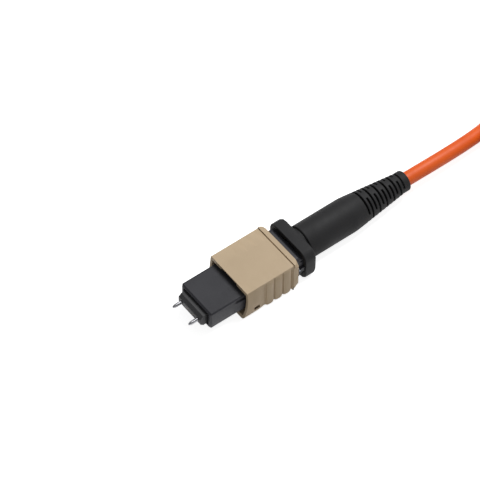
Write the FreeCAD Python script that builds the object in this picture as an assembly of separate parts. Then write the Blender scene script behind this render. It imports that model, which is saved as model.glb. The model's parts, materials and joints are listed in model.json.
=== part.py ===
"""Twelve-fibre MPO push-pull connector with guide pins, on a 0.9 m patch cord.

The connector lies along X, nose towards -X and cable towards +X, resting on the
flat underside of its coupling sleeve. The origin is the centre of the ferrule's
end face. A matching connector ends the other end of the cord. Units: millimetres.
"""
import FreeCAD
import Part
import math
import os
from FreeCAD import Vector

# MT ferrule, with its wider shoulder at the rear
ferrule_width = 6.4
ferrule_height = 2.5
ferrule_length = 8.0
ferrule_face_chamfer = 0.6
shoulder_width = 7.0
shoulder_height = 3.0
shoulder_length = 2.3
fill_window_width = 3.0
fill_window_length = 1.4
fill_window_depth = 0.85

# Guide pins, their clamp and the rubber boot behind the ferrule
pin_diameter = 0.7
pin_spacing = 4.6
pin_reach = 1.9
pin_tip_length = 0.5
pin_tip_diameter = 0.34
pin_neck_diameter = 0.54
pin_neck_length = 0.4
clamp_length = 2.2
clamp_height = 2.7
clamp_end_wall = 0.5
ribbon_width = 3.1
ribbon_thickness = 0.3
rubber_wall = 0.38
rubber_side_wall = 0.12
rubber_seat_depth = 2.0
rubber_length = 6.6
ribbon_seat_depth = 1.4

# Ferrule spring: an oval coil. The wire of every spring has the same few flat sides
wire_sides = 4
ferrule_spring_width = 5.6
ferrule_spring_height = 2.6
ferrule_spring_wire = 0.4
ferrule_spring_length = 6.8
ferrule_spring_turns = 5
ferrule_spring_steps = 12

# Inner housing
ferrule_proud = 1.4
nose_width = 8.6
nose_height = 4.2
nose_edge_radius = 0.35
nose_face_chamfer = 0.3
mouth_chamfer = 0.2
undercut_height = 1.45
undercut_depth = 0.3
latch_width = 9.2
latch_height = 2.4
latch_length = 1.4
latch_ramp = 0.8
key_width = 3.0
key_height = 0.7
key_length = 6.5
body_edge_radius = 0.85
body_length = 9.5
housing_length = 19.3
ferrule_clearance = 0.12
rear_bore_height = 4.4
rear_bore_length = 6.7
spring_channel_depth = 0.47
spring_channel_height = 1.1
spring_channel_length = 8.3

# Coupling sleeve, which slides back over the housing
sleeve_width = 10.5
sleeve_height = 6.9
sleeve_length = 11.2
sleeve_side_wall = 0.75
sleeve_top_wall = 0.5
sleeve_corner_radius = 0.8
sleeve_bore_radius = 0.8
sleeve_mouth_chamfer = 0.3
sleeve_travel = 1.4
sleeve_stop_gap = 0.3
lip_length = 0.9
side_lip_length = 1.73
lip_height = 0.15
grip_start = 3.85
grip_ribs = 3
grip_swell = 0.28
side_hole_start = 1.4
side_hole_length = 1.2
side_hole_height = 0.8
side_hole_z = -1.8
lug_length = 0.8
sliding_clearance = 0.1
guide_clearance = 0.15

# Coupling springs, one in each side channel
coupling_spring_diameter = 0.9
coupling_spring_wire = 0.18
coupling_spring_turns = 7
coupling_spring_steps = 8

# Spring push: closes the housing, seats the springs and carries the crimp
push_flange_length = 0.8
push_flange_width = 8.4
ear_height = 3.2
ribbon_passage_clearance = 0.15
push_passage_height = 1.8
neck_wall = 0.4
neck_length = 4.5
arm_width = 2.2
arm_thickness = 0.45
arm_length = 2.6
hook_height = 0.4
hook_length = 1.0
window_clearance = 0.1

# Crimp ring and the aramid yarn gripped under it
yarn_thickness = 0.15
crimp_wall = 0.35
crimp_setback = 0.8
crimp_length = 4.0
crimp_taper = 0.9
crimp_tail_length = 3.4
crimp_flats = 8

# Strain relief boot
flange_width = 10.4
flange_height = 6.8
flange_corner = 1.8
flange_length = 2.4
flange_rear_bevel = 0.5
groove_length = 0.5
groove_depth = 0.35
barrel_diameter = 6.7
barrel_length = 10.5
cone_length = 12.9
boot_tip_diameter = 4.0
boot_tip_length = 1.2
boot_cavity_clearance = 0.1
boot_cavity_taper = 1.5
boot_bore_clearance = 0.25
slot_start = 2.7
slot_width = 0.45
slot_pitch = 1.0
slot_count = 9
slot_bridge = 1.1

# Cable, put away in a tied hank between the two connectors
cable_diameter = 2.7
cable_gap = 0.4
hank_x = 67.0
hank_pitch = 2.75
hank_inner_fold = 8.1
hank_turns_across = 2
hank_layers = 4
hank_run = 22.0
cable_sides = 16
tie_thickness = 0.3
tie_width = 8.0
far_tip_x = 129.0
far_connector_y = -1.2
arc_share = 0.45

# Stations along X, worked out from the sizes above
shoulder_x = ferrule_length - shoulder_length
clamp_rear_x = ferrule_length + clamp_length
spring_seat_x = clamp_rear_x + ferrule_spring_length
housing_x = ferrule_proud
housing_rear_x = housing_x + housing_length
body_x = housing_rear_x - body_length
channel_x = housing_rear_x - spring_channel_length
boot_x = housing_rear_x + push_flange_length
sleeve_rear_x = boot_x - sleeve_stop_gap - sleeve_travel
sleeve_x = sleeve_rear_x - sleeve_length
neck_rear_x = boot_x + neck_length
cable_start_x = neck_rear_x + cable_gap
crimp_x = boot_x + crimp_setback
crimp_taper_x = crimp_x + crimp_length
crimp_tail_x = crimp_taper_x + crimp_taper
crimp_rear_x = crimp_tail_x + crimp_tail_length
flange_rear_x = boot_x + flange_length
barrel_x = flange_rear_x + groove_length
cone_x = barrel_x + barrel_length
boot_rear_x = cone_x + cone_length
arm_front_x = spring_seat_x - arm_length
far_connector_x = far_tip_x + boot_rear_x

# Places across the axis that several pieces share
sleeve_bore_y = sleeve_width / 2 - sleeve_side_wall
sleeve_bore_z = sleeve_height / 2 - lip_height - sleeve_top_wall
body_width = 2 * (sleeve_bore_y - guide_clearance)
body_height = 2 * (sleeve_bore_z - guide_clearance)
channel_floor_y = body_width / 2 - spring_channel_depth
coupling_spring_y = channel_floor_y + (coupling_spring_diameter + sliding_clearance) / 2
sleeve_groove_y = coupling_spring_y + (coupling_spring_diameter + sliding_clearance) / 2
rear_bore_z = rear_bore_height / 2
rear_bore_y = shoulder_width / 2 + ferrule_clearance
passage_width = ribbon_width + 2 * ribbon_passage_clearance
neck_diameter = passage_width + 2 * neck_wall
yarn_radius = neck_diameter / 2 + yarn_thickness
crimp_radius = yarn_radius + crimp_wall
cable_radius = cable_diameter / 2
floor_z = -sleeve_height / 2
hank_outer_fold = hank_inner_fold + (hank_turns_across - 1) * hank_pitch
hank_hole = hank_inner_fold - cable_radius
hank_reach = hank_outer_fold + cable_radius
hank_left_x = hank_x + hank_reach
hank_right_x = hank_left_x + hank_run
hank_y = sleeve_width / 2 + grip_swell - tie_thickness - hank_reach
hank_floor_z = floor_z + tie_thickness
hank_top_z = hank_floor_z + cable_diameter + (hank_layers - 1) * hank_pitch
outer_run_y = hank_y + hank_outer_fold
lowest_run_z = hank_floor_z + cable_radius
highest_run_z = hank_top_z - cable_radius

# The cable's routes from each crimp to its run in the hank: points chosen by hand
lead_route = [
    Vector(cable_start_x, 0, 0),
    Vector(44.2, 0, 0),
    Vector(62.0, 0, -0.5),
    Vector(71.0, 2.0, -1.7),
    Vector(77.5, outer_run_y, lowest_run_z),
    Vector(84.0, outer_run_y, lowest_run_z),
]
tail_route = [
    Vector(far_connector_x - cable_start_x, far_connector_y, 0),
    Vector(137.5, far_connector_y, 0),
    Vector(124.5, -0.9, 0.2),
    Vector(115.5, 1.3, 2.6),
    Vector(107.0, outer_run_y, highest_run_z),
    Vector(98.0, outer_run_y, highest_run_z),
]


def block(x0, x1, y0, y1, z0, z1):
    """Box between two corners."""
    return Part.makeBox(x1 - x0, y1 - y0, z1 - z0, Vector(x0, y0, z0))


def long_edges(solid):
    """The straight edges of a solid that run along X."""
    return [e for e in solid.Edges if math.isclose(e.BoundBox.XLength, e.Length, rel_tol=1e-4)]


def edges_at(solid, x):
    """The edges of a solid that lie in the plane at x."""
    return [e for e in solid.Edges if abs(e.BoundBox.XMin - x) < 1e-4 and abs(e.BoundBox.XMax - x) < 1e-4]


def bar(x0, x1, width, height, radius=0.0):
    """Bar along X, centred on the axis, with its long edges rounded."""
    solid = block(x0, x1, -width / 2, width / 2, -height / 2, height / 2)
    if radius:
        solid = solid.makeFillet(radius, long_edges(solid))
    return solid


def prism(outline, direction):
    """Closed outline of points, extruded."""
    return Part.Face(Part.makePolygon(outline + outline[:1])).extrude(direction)


def turned(outline):
    """Solid of revolution about X from a closed outline of (x, radius) pairs."""
    points = [Vector(x, 0, radius) for x, radius in outline]
    face = Part.Face(Part.makePolygon(points + points[:1]))
    return face.revolve(Vector(0, 0, 0), Vector(1, 0, 0), 360)


def rod(x0, x1, diameter, y=0.0):
    """Round rod along X."""
    return Part.makeCylinder(diameter / 2, x1 - x0, Vector(x0, y, 0), Vector(1, 0, 0))


def mirrored(shape):
    """The shape on the other side of the XZ plane."""
    return shape.mirror(Vector(0, 0, 0), Vector(0, 1, 0))


def upside_down(shape):
    """The shape on the other side of the XY plane."""
    return shape.mirror(Vector(0, 0, 0), Vector(0, 0, 1))


def wound_spring(x0, x1, width, height, wire, turns, steps):
    """Compression spring along X with closed ends, of flat-sided wire in short straight lengths."""
    closed_pitch = 1.15 * wire
    open_pitch = (x1 - x0 - wire - 2 * closed_pitch) / (turns - 2)
    points = []
    for step in range(turns * steps + 1):
        turn = step / steps
        closed = min(turn, 1) + max(turn - (turns - 1), 0)
        opened = turn - closed
        x = x0 + wire / 2 + closed * closed_pitch + opened * open_pitch
        angle = 2 * math.pi * turn
        y = (width - wire) / 2 * math.cos(angle)
        z = (height - wire) / 2 * math.sin(angle)
        points.append(Vector(x, y, z))
    path = Part.makePolygon(points)
    along = points[1] - points[0]
    outward = Vector(0, 1, 0)
    across = along.cross(outward).normalize()
    ring = []
    for corner in range(wire_sides):
        angle = 2 * math.pi * corner / wire_sides
        reach = outward * math.cos(angle) + across * math.sin(angle)
        ring.append(points[0] + reach * (wire / 2))
    return path.makePipeShell([Part.makePolygon(ring + ring[:1])], True, False, 1)


def guide_pin():
    """Steel guide pin with a bullet tip and the neck that its clamp holds."""
    pin_rear = clamp_rear_x - clamp_end_wall
    neck_rear = pin_rear - pin_neck_length
    full, tip, neck = pin_diameter / 2, pin_tip_diameter / 2, pin_neck_diameter / 2
    pin = turned([
        (-pin_reach, 0),
        (-pin_reach, tip),
        (-pin_reach + pin_tip_length, full),
        (0, full),
        (neck_rear - pin_neck_length, full),
        (neck_rear - pin_neck_length, neck),
        (neck_rear, neck),
        (neck_rear, full),
        (pin_rear, full),
        (pin_rear, 0),
    ])
    pin.translate(Vector(0, -pin_spacing / 2, 0))
    return pin


def rubber_block(x0, x1):
    """The space that the rubber ferrule boot takes up between two stations."""
    return bar(x0, x1, ribbon_width + 2 * rubber_side_wall, ribbon_thickness + 2 * rubber_wall)


def ribbon_block(x0, x1):
    """The space that the fibre ribbon takes up between two stations."""
    return bar(x0, x1, ribbon_width, ribbon_thickness)


def mt_ferrule():
    """Moulded ferrule: pin holes, glue window on top and a stepped pocket at the rear."""
    ferrule = bar(0, ferrule_length, ferrule_width, ferrule_height)
    face_edges = [e for e in edges_at(ferrule, 0) if e.BoundBox.YLength > ferrule_height]
    ferrule = ferrule.makeChamfer(ferrule_face_chamfer, face_edges)
    ferrule = ferrule.fuse(bar(shoulder_x, ferrule_length, shoulder_width, shoulder_height))
    for y in (-pin_spacing / 2, pin_spacing / 2):
        ferrule = ferrule.cut(rod(0, ferrule_length, pin_diameter, y))
    pocket_x = ferrule_length - rubber_seat_depth
    ribbon_x = pocket_x - ribbon_seat_depth
    ferrule = ferrule.cut(rubber_block(pocket_x, ferrule_length))
    ferrule = ferrule.cut(ribbon_block(ribbon_x, pocket_x))
    window_z = ferrule_height / 2 - fill_window_depth
    window_rear = ribbon_x + fill_window_length / 2
    window = block(
        window_rear - fill_window_length, window_rear,
        -fill_window_width / 2, fill_window_width / 2,
        window_z, shoulder_height,
    )
    return ferrule.cut(window).removeSplitter()


def pin_clamp():
    """Clamp behind the ferrule, into whose side slots the guide pins snap by their necks."""
    clamp = bar(ferrule_length, clamp_rear_x, ferrule_width, clamp_height)
    clamp = clamp.cut(rubber_block(ferrule_length, clamp_rear_x))
    pin_rear = clamp_rear_x - clamp_end_wall
    neck_rear = pin_rear - pin_neck_length
    neck_front = neck_rear - pin_neck_length
    left_slot = guide_pin()
    for start, end, height in (
        (ferrule_length, neck_front, pin_diameter),
        (neck_front, neck_rear, pin_neck_diameter),
        (neck_rear, pin_rear, pin_diameter),
    ):
        left_slot = left_slot.fuse(block(
            start, end, -ferrule_width, -pin_spacing / 2, -height / 2, height / 2,
        ))
    return clamp.cut([left_slot, mirrored(left_slot)])


def ferrule_boot():
    """Rubber boot that keeps the ribbon straight behind the ferrule."""
    front = ferrule_length - rubber_seat_depth
    return rubber_block(front, front + rubber_length).cut(ribbon_block(front, front + rubber_length))


def fibre_ribbon():
    """Twelve-fibre ribbon from the ferrule's glue window to the cut jacket."""
    return ribbon_block(ferrule_length - rubber_seat_depth - ribbon_seat_depth, cable_start_x)


def ferrule_spring():
    """Oval spring that presses the ferrule forward."""
    return wound_spring(
        clamp_rear_x, spring_seat_x, ferrule_spring_width, ferrule_spring_height,
        ferrule_spring_wire, ferrule_spring_turns, ferrule_spring_steps,
    )


def coupling_spring():
    """Round spring that returns the coupling sleeve, on the left side."""
    spring = wound_spring(
        channel_x + lug_length, housing_rear_x, coupling_spring_diameter, coupling_spring_diameter,
        coupling_spring_wire, coupling_spring_turns, coupling_spring_steps,
    )
    spring.translate(Vector(0, -coupling_spring_y, 0))
    return spring


def nose_section(x, inset):
    """Section of the nose at x: rounded above, undercut below, smaller all round by the inset."""
    half_width, half_height = nose_width / 2 - inset, nose_height / 2 - inset
    arc_rise = nose_edge_radius * math.sqrt(0.5)
    side = Vector(x, half_width, half_height - nose_edge_radius)
    arc_middle = side + Vector(0, arc_rise - nose_edge_radius, arc_rise)
    top = Vector(x, half_width - nose_edge_radius, half_height)
    undercut_top = Vector(x, half_width, undercut_height - half_height)
    underside = Vector(x, half_width - undercut_depth, -half_height)
    half = [
        Part.Arc(top, arc_middle, side).toShape(),
        Part.LineSegment(side, undercut_top).toShape(),
        Part.LineSegment(undercut_top, underside).toShape(),
    ]
    across_top = Part.LineSegment(Vector(x, -top.y, top.z), top).toShape()
    across_bottom = Part.LineSegment(underside, Vector(x, -underside.y, underside.z)).toShape()
    other_half = [mirrored(edge) for edge in reversed(half)]
    return Part.Wire([across_top] + half + [across_bottom] + other_half)


def housing_nose():
    """Nose that enters the adapter, with its front edges bevelled."""
    bevel_rear = housing_x + nose_face_chamfer
    bevel = Part.makeLoft([
        nose_section(housing_x, nose_face_chamfer),
        nose_section(bevel_rear, 0),
    ], True, True)
    nose = Part.Face(nose_section(bevel_rear, 0)).extrude(Vector(housing_rear_x - bevel_rear, 0, 0))
    return nose.fuse(bevel)


def adapter_latch():
    """Ramped shoulder on the left that the adapter's hook snaps behind."""
    inner, outer = nose_width / 2 - nose_edge_radius, latch_width / 2
    rear = sleeve_x + ferrule_clearance
    outline = [
        Vector(rear, -inner, -latch_height / 2),
        Vector(rear, -outer, -latch_height / 2),
        Vector(rear - latch_length, -outer, -latch_height / 2),
        Vector(rear - latch_length - latch_ramp, -nose_width / 2, -latch_height / 2),
        Vector(rear - latch_length - latch_ramp, -inner, -latch_height / 2),
    ]
    return prism(outline, Vector(0, 0, latch_height))


def housing_passage():
    """The stepped way through the housing: ferrule mouth, shoulder bore and rear bore."""
    mouth_width = ferrule_width + 2 * ferrule_clearance
    mouth_height = ferrule_height + 2 * ferrule_clearance
    bore_width = shoulder_width + 2 * ferrule_clearance
    bore_height = shoulder_height + 2 * ferrule_clearance
    mouth = bar(housing_x, shoulder_x, mouth_width, mouth_height)
    flare = Part.makeLoft([
        cross_section(housing_x, mouth_width + 2 * mouth_chamfer, mouth_height + 2 * mouth_chamfer),
        cross_section(housing_x + mouth_chamfer, mouth_width, mouth_height),
    ], True, True)
    shoulder_bore = bar(shoulder_x, housing_rear_x, bore_width, bore_height)
    rear_bore = bar(housing_rear_x - rear_bore_length, housing_rear_x, bore_width, rear_bore_height)
    return mouth.fuse([flare, shoulder_bore, rear_bore])


def cross_section(x, width, height, corner=0.0):
    """Closed rectangle across the axis at x, with its corners cut off."""
    half_width, half_height = width / 2, height / 2
    quarter = [(half_width, half_height - corner), (half_width - corner, half_height)]
    outline = quarter + [(-y, z) for y, z in reversed(quarter)]
    outline += [(-y, -z) for y, z in outline]
    points = []
    for y, z in outline:
        point = Vector(x, y, z)
        if not points or (point - points[-1]).Length > 1e-6:
            points.append(point)
    if (points[0] - points[-1]).Length < 1e-6:
        points.pop()
    return Part.makePolygon(points + points[:1])


def inner_housing():
    """Housing: nose, latches, key and the body that guides the sleeve and the springs."""
    body = bar(body_x, housing_rear_x, body_width, body_height, body_edge_radius)
    latch = adapter_latch()
    key = block(
        housing_x + nose_face_chamfer, housing_x + key_length, -key_width / 2, key_width / 2,
        -nose_height / 2 - key_height, -nose_height / 2 + key_height,
    )
    housing = housing_nose().fuse([body, latch, mirrored(latch), key])
    channel = block(
        channel_x, housing_rear_x, -body_width / 2, -channel_floor_y,
        -spring_channel_height / 2, spring_channel_height / 2,
    )
    window = block(
        arm_front_x - window_clearance, arm_front_x + hook_length + window_clearance,
        -arm_width / 2 - window_clearance, arm_width / 2 + window_clearance,
        0, body_height / 2,
    )
    cuts = [housing_passage(), channel, mirrored(channel), window, upside_down(window)]
    return housing.cut(cuts).removeSplitter()


def push_arm():
    """Upper snap arm of the spring push, with its hook in the housing's window."""
    top = rear_bore_z - window_clearance
    outline = [
        Vector(spring_seat_x + arm_thickness, -arm_width / 2, top),
        Vector(spring_seat_x + arm_thickness, -arm_width / 2, top - arm_thickness),
        Vector(arm_front_x, -arm_width / 2, top - arm_thickness),
        Vector(arm_front_x, -arm_width / 2, top),
        Vector(arm_front_x + hook_length, -arm_width / 2, top + hook_height),
        Vector(arm_front_x + hook_length, -arm_width / 2, top),
    ]
    return prism(outline, Vector(0, arm_width, 0))


def spring_push():
    """Spring push: plug in the housing's rear, ears behind the coupling springs, crimp neck."""
    plug_width = 2 * (rear_bore_y - window_clearance)
    plug_height = 2 * (rear_bore_z - window_clearance)
    plug = bar(spring_seat_x, boot_x, plug_width, plug_height)
    flange = bar(housing_rear_x, boot_x, push_flange_width, plug_height)
    ears = bar(housing_rear_x, boot_x, body_width, ear_height)
    seats = bar(
        housing_rear_x, boot_x, 2 * coupling_spring_y + coupling_spring_diameter,
        spring_channel_height - 2 * sliding_clearance,
    )
    arm = push_arm()
    push = plug.fuse([flange, ears, seats, arm, upside_down(arm), rod(boot_x, neck_rear_x, neck_diameter)])
    passage = bar(spring_seat_x, housing_rear_x, passage_width, push_passage_height)
    return push.cut([passage, rod(housing_rear_x, neck_rear_x, passage_width)]).removeSplitter()


def side_outline():
    """Plan of the sleeve's left side: plain in front, swelling into the grip ribs."""
    plain = -sleeve_width / 2
    grip_x = sleeve_x + grip_start
    lip_x = sleeve_rear_x - side_lip_length
    rib = (lip_x - grip_x) / grip_ribs
    edges = [
        Part.LineSegment(Vector(sleeve_x, 0, 0), Vector(sleeve_x, plain, 0)),
        Part.LineSegment(Vector(sleeve_x, plain, 0), Vector(grip_x, plain, 0)),
    ]
    for number in range(grip_ribs):
        start = grip_x + number * rib
        edges.append(Part.Arc(
            Vector(start, plain, 0),
            Vector(start + rib / 2, plain - grip_swell, 0),
            Vector(start + rib, plain, 0),
        ))
    rear_corners = [
        Vector(lip_x, plain, 0),
        Vector(lip_x, plain - lip_height, 0),
        Vector(sleeve_rear_x, plain - lip_height, 0),
        Vector(sleeve_rear_x, 0, 0),
        Vector(sleeve_x, 0, 0),
    ]
    edges += [Part.LineSegment(start, end) for start, end in zip(rear_corners, rear_corners[1:])]
    return Part.Wire([edge.toShape() for edge in edges])


def coupling_sleeve():
    """Push-pull sleeve: ribbed sides, raised rear lip, lugs that compress the springs."""
    half_plan = Part.Face(side_outline()).extrude(Vector(0, 0, sleeve_height))
    half_plan.translate(Vector(0, 0, floor_z))
    plan = half_plan.fuse(mirrored(half_plan)).removeSplitter()
    full_width = sleeve_width + 2 * grip_swell
    lip_x = sleeve_rear_x - lip_length
    envelope = bar(sleeve_x, lip_x, full_width, sleeve_height - lip_height, sleeve_corner_radius)
    envelope.translate(Vector(0, 0, -lip_height / 2))
    lip = bar(lip_x, sleeve_rear_x, sleeve_width + 2 * lip_height, sleeve_height, sleeve_corner_radius)
    sleeve = plan.common(envelope.fuse(lip))
    bore = bar(sleeve_x, sleeve_rear_x, 2 * sleeve_bore_y, 2 * sleeve_bore_z, sleeve_bore_radius)
    flare = Part.makeLoft([
        cross_section(
            sleeve_x, 2 * (sleeve_bore_y + sleeve_mouth_chamfer), 2 * (sleeve_bore_z + sleeve_mouth_chamfer),
            sleeve_corner_radius,
        ),
        cross_section(
            sleeve_x + sleeve_mouth_chamfer, 2 * sleeve_bore_y, 2 * sleeve_bore_z, sleeve_corner_radius,
        ),
    ], True, True)
    hole = block(
        sleeve_x + side_hole_start, sleeve_x + side_hole_start + side_hole_length,
        -full_width, full_width, side_hole_z - side_hole_height / 2, side_hole_z + side_hole_height / 2,
    )
    spring_groove = block(
        channel_x + lug_length, sleeve_rear_x, -sleeve_groove_y, sleeve_groove_y,
        -spring_channel_height / 2, spring_channel_height / 2,
    )
    sleeve = sleeve.cut([bore, flare, hole, spring_groove])
    lug = block(
        channel_x, channel_x + lug_length, -sleeve_bore_y - sleeve_side_wall / 2,
        -channel_floor_y - sliding_clearance,
        sliding_clearance - spring_channel_height / 2, spring_channel_height / 2 - sliding_clearance,
    )
    return sleeve.fuse([lug, mirrored(lug)]).removeSplitter()


def aramid_yarn():
    """Layer of yarn laid back over the neck, under the crimp ring."""
    return turned([
        (crimp_x, neck_diameter / 2),
        (crimp_x, yarn_radius),
        (neck_rear_x, yarn_radius),
        (neck_rear_x, neck_diameter / 2),
    ])


def flatted_section(x, radius, flats):
    """Closed outline across the axis at x with so many flats, whose corners lie at the radius."""
    points = []
    for corner in range(flats):
        angle = 2 * math.pi * corner / flats
        points.append(Vector(x, radius * math.cos(angle), radius * math.sin(angle)))
    return Part.makePolygon(points + points[:1])


def crimp_ring():
    """Stepped ring crimped to flats: wide over the yarn, narrow over the jacket."""
    tail_radius = cable_radius + crimp_wall
    ring = Part.makeLoft([
        flatted_section(crimp_x, crimp_radius, crimp_flats),
        flatted_section(crimp_taper_x, crimp_radius, crimp_flats),
        flatted_section(crimp_tail_x, tail_radius, crimp_flats),
        flatted_section(crimp_rear_x, tail_radius, crimp_flats),
    ], True, True)
    return ring.cut(turned([
        (crimp_x, 0),
        (crimp_x, yarn_radius),
        (crimp_taper_x, yarn_radius),
        (crimp_tail_x, cable_radius),
        (crimp_rear_x, cable_radius),
        (crimp_rear_x, 0),
    ]))


def boot_slots():
    """Slots across the boot's cone, turned a quarter from each station to the next."""
    reach = barrel_diameter / 2
    bridge = slot_bridge / 2
    slots = []
    for number in range(slot_count):
        x = cone_x + slot_start + number * slot_pitch
        if number % 2:
            pair = [block(x, x + slot_width, -reach, -bridge, -reach, reach)]
            pair.append(mirrored(pair[0]))
        else:
            pair = [block(x, x + slot_width, -reach, reach, bridge, reach)]
            pair.append(upside_down(pair[0]))
        slots += pair
    return slots


def strain_relief_boot(slotted=True):
    """Boot: corner-cut flange, grooved neck, plain barrel and slotted cone."""
    flange = Part.makeLoft([
        cross_section(boot_x, flange_width, flange_height, flange_corner),
        cross_section(flange_rear_x - flange_rear_bevel, flange_width, flange_height, flange_corner),
        cross_section(
            flange_rear_x, flange_width - 2 * flange_rear_bevel, flange_height - 2 * flange_rear_bevel,
            flange_corner,
        ),
    ], True, True)
    shell = turned([
        (boot_x, 0),
        (boot_x, barrel_diameter / 2 - groove_depth),
        (barrel_x, barrel_diameter / 2 - groove_depth),
        (barrel_x, barrel_diameter / 2),
        (cone_x, barrel_diameter / 2),
        (boot_rear_x - boot_tip_length, boot_tip_diameter / 2),
        (boot_rear_x, boot_tip_diameter / 2),
        (boot_rear_x, 0),
    ])
    cavity_radius = crimp_radius + boot_cavity_clearance
    bore_radius = cable_radius + boot_bore_clearance
    cavity_rear = crimp_rear_x + boot_cavity_clearance
    cavity = turned([
        (boot_x, 0),
        (boot_x, cavity_radius),
        (cavity_rear, cavity_radius),
        (cavity_rear + boot_cavity_taper, bore_radius),
        (boot_rear_x, bore_radius),
        (boot_rear_x, 0),
    ])
    slots = boot_slots() if slotted else []
    return flange.fuse(shell).cut([cavity] + slots).removeSplitter()


def rounded_route(points):
    """Straight runs joined by tangent arcs, each as large as its two runs allow."""
    edges = []
    radii = []
    start = points[0]
    for before, corner, after in zip(points, points[1:], points[2:]):
        into = corner - before
        out = after - corner
        setback = arc_share * min(into.Length, out.Length)
        half_turn = into.getAngle(out) / 2
        radius = setback / math.tan(half_turn)
        into.normalize()
        out.normalize()
        entry = corner - into * setback
        leave = corner + out * setback
        inward = (out - into).normalize()
        middle = corner + inward * (radius / math.cos(half_turn) - radius)
        edges.append(Part.LineSegment(start, entry).toShape())
        edges.append(Part.Arc(entry, middle, leave).toShape())
        radii.append(radius)
        start = leave
    edges.append(Part.LineSegment(start, points[-1]).toShape())
    return Part.Wire(edges), radii


def cable_tube(name, points):
    """Cable with a few flat sides along a route, with its bend radii and its volume reported."""
    route, radii = rounded_route(points)
    start = points[0]
    section = flatted_section(start.x, cable_radius, cable_sides).translated(Vector(0, start.y, start.z))
    tube = route.makePipeShell([section], True, False)
    expected = Part.Face(section).Area * route.Length
    print(f"{name}: length {route.Length:.1f}, radii {[round(r, 1) for r in radii]}, "
          f"volume {tube.Volume:.2f} of {expected:.2f}")
    return tube


def hank_block(end_radius):
    """Block as high as the hank, whose plan is a racetrack with ends of that radius."""
    height = hank_top_z - hank_floor_z
    runs = block(
        hank_left_x, hank_right_x, hank_y - end_radius, hank_y + end_radius, hank_floor_z, hank_top_z,
    )
    left_fold = Part.makeCylinder(end_radius, height, Vector(hank_left_x, hank_y, hank_floor_z))
    right_fold = left_fold.translated(Vector(hank_run, 0, 0))
    return runs.fuse([left_fold, right_fold]).removeSplitter()


def cable_hank():
    """Outer shape of the folded cable: one racetrack ring."""
    return hank_block(hank_reach).cut(hank_block(hank_hole))


def hank_tie(side):
    """Strap wrapped round the hank's straight runs on one side."""
    middle = (hank_left_x + hank_right_x) / 2
    inner = hank_y + side * (hank_hole - tie_thickness)
    outer = hank_y + side * (hank_reach + tie_thickness)
    strap = block(
        middle - tie_width / 2, middle + tie_width / 2, min(inner, outer), max(inner, outer),
        floor_z, hank_top_z + tie_thickness,
    )
    return strap.cut(cable_hank())


def connector():
    """Every piece of one connector, by name."""
    left_pin = guide_pin()
    left_spring = coupling_spring()
    return {
        "mt_ferrule": mt_ferrule(),
        "guide_pin_left": left_pin,
        "guide_pin_right": mirrored(left_pin),
        "pin_clamp": pin_clamp(),
        "ferrule_boot": ferrule_boot(),
        "ferrule_spring": ferrule_spring(),
        "fibre_ribbon": fibre_ribbon(),
        "inner_housing": inner_housing(),
        "spring_push": spring_push(),
        "coupling_sleeve": coupling_sleeve(),
        "coupling_spring_left": left_spring,
        "coupling_spring_right": mirrored(left_spring),
        "aramid_yarn": aramid_yarn(),
        "crimp_ring": crimp_ring(),
        "strain_relief_boot": strain_relief_boot(),
    }


def cord():
    """The cord's solids, by name: lead from the near connector, tied hank, tail to the far one."""
    hank = cable_hank()
    return {
        "cable_lead": cable_tube("cable_lead", lead_route).cut(hank),
        "cable_hank": hank,
        "cable_tail": cable_tube("cable_tail", tail_route).cut(hank),
        "hank_tie_left": hank_tie(-1),
        "hank_tie_right": hank_tie(1),
    }


def at_far_end(shape):
    """A connector's piece turned round and moved to the cord's far end."""
    turned_round = shape.rotated(Vector(0, 0, 0), Vector(0, 0, 1), 180)
    return turned_round.translated(Vector(far_connector_x, far_connector_y, 0))


def main():
    """Write one STEP file for each piece."""
    pieces = cord()
    for name, shape in connector().items():
        pieces[name] = shape
        pieces["far_" + name] = at_far_end(shape)
    # The far boot is kept light: its slots are left out
    pieces["far_strain_relief_boot"] = at_far_end(strain_relief_boot(slotted=False))
    os.makedirs("parts", exist_ok=True)
    for name, shape in pieces.items():
        shape.exportStep(f"parts/{name}.step")
        print(f"{name}: {len(shape.Solids)} solid, valid {shape.isValid()}, volume {shape.Volume:.2f}")


main()
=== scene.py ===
"""Looks of a push-pull multi-fibre connector on its patch cord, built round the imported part.

Sizes of pieces are written in millimetres and turned to metres where a mesh or a curve is made.
Heights and pattern scales of the finishes are in metres, as Blender reads them.
The nose points along -X, the cable leaves along +X, and +Z is the top. Each detailed piece is
modelled on the near connector, and a copy of it is turned round for the far one.
"""
import json
import math

import bmesh
import bpy
from mathutils import Matrix, Vector


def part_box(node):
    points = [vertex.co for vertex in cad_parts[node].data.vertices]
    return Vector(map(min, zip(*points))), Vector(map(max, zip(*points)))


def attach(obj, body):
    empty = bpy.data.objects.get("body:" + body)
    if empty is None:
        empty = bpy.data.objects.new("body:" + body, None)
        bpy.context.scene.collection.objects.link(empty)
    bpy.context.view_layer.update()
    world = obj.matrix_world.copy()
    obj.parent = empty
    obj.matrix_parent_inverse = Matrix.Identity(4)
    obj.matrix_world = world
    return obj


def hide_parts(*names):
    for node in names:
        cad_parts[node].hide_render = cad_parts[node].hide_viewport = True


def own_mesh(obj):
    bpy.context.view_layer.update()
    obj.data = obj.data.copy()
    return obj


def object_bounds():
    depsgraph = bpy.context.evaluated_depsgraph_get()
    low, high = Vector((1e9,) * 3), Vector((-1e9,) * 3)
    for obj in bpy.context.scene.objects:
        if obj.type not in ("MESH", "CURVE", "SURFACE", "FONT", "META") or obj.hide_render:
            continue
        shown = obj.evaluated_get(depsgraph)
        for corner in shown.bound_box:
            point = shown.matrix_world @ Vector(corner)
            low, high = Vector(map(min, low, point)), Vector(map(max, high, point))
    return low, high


MM = 0.001
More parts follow.
